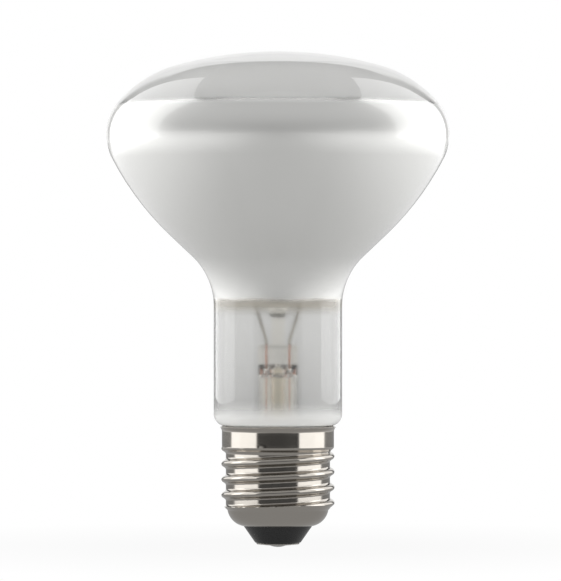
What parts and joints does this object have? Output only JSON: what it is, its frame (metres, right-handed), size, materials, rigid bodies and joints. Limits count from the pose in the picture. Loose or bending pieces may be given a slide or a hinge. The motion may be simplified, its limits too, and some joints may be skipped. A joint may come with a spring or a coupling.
{
  "type": "reflector bulb",
  "caption": "Incandescent reflector lamp: flared glass bulb with an inside mirror and a frosted domed face, straight neck showing the stem, and a rolled screw cap.",
  "frame": {"origin": "tip of the solder on the centre contact, on the lamp's axis", "axes": "+Z along the axis from the cap to the domed face; the stem's flat press faces -Y and +Y"},
  "size_m": [0.08, 0.08, 0.1154],
  "materials": {
    "envelope_glass": "glossy outside, etched inside",
    "mirror_film": "vapour-deposited, bright",
    "cap_metal": "nickel plate, bright",
    "insulator_glass": "black pressed glass, glossy",
    "contact_metal": "plated, dull",
    "solder": "satin",
    "cement": "matt",
    "stem_glass": "fire polished",
    "copper": "bare wire",
    "nickel_wire": "drawn",
    "support_metal": "drawn",
    "tungsten": "matt"
  },
  "bodies": {
    "root": {"bulb_glass": "envelope_glass", "mirror_coating": "mirror_film", "cap_shell": "cap_metal", "insulator": "insulator_glass", "contact_plate": "contact_metal", "centre_solder": "solder", "side_solder": "solder", "capping_cement": "cement", "stem_flare": "stem_glass", "exhaust_tube": "stem_glass", "arbor_rod": "stem_glass", "seal_wire_left": "copper", "seal_wire_right": "copper", "outer_lead_centre": "copper", "outer_lead_side": "copper", "inner_lead_left": "nickel_wire", "inner_lead_right": "nickel_wire", "support_wire_left": "support_metal", "support_wire_right": "support_metal", "filament": "tungsten"}
  },
  "joints": []
}
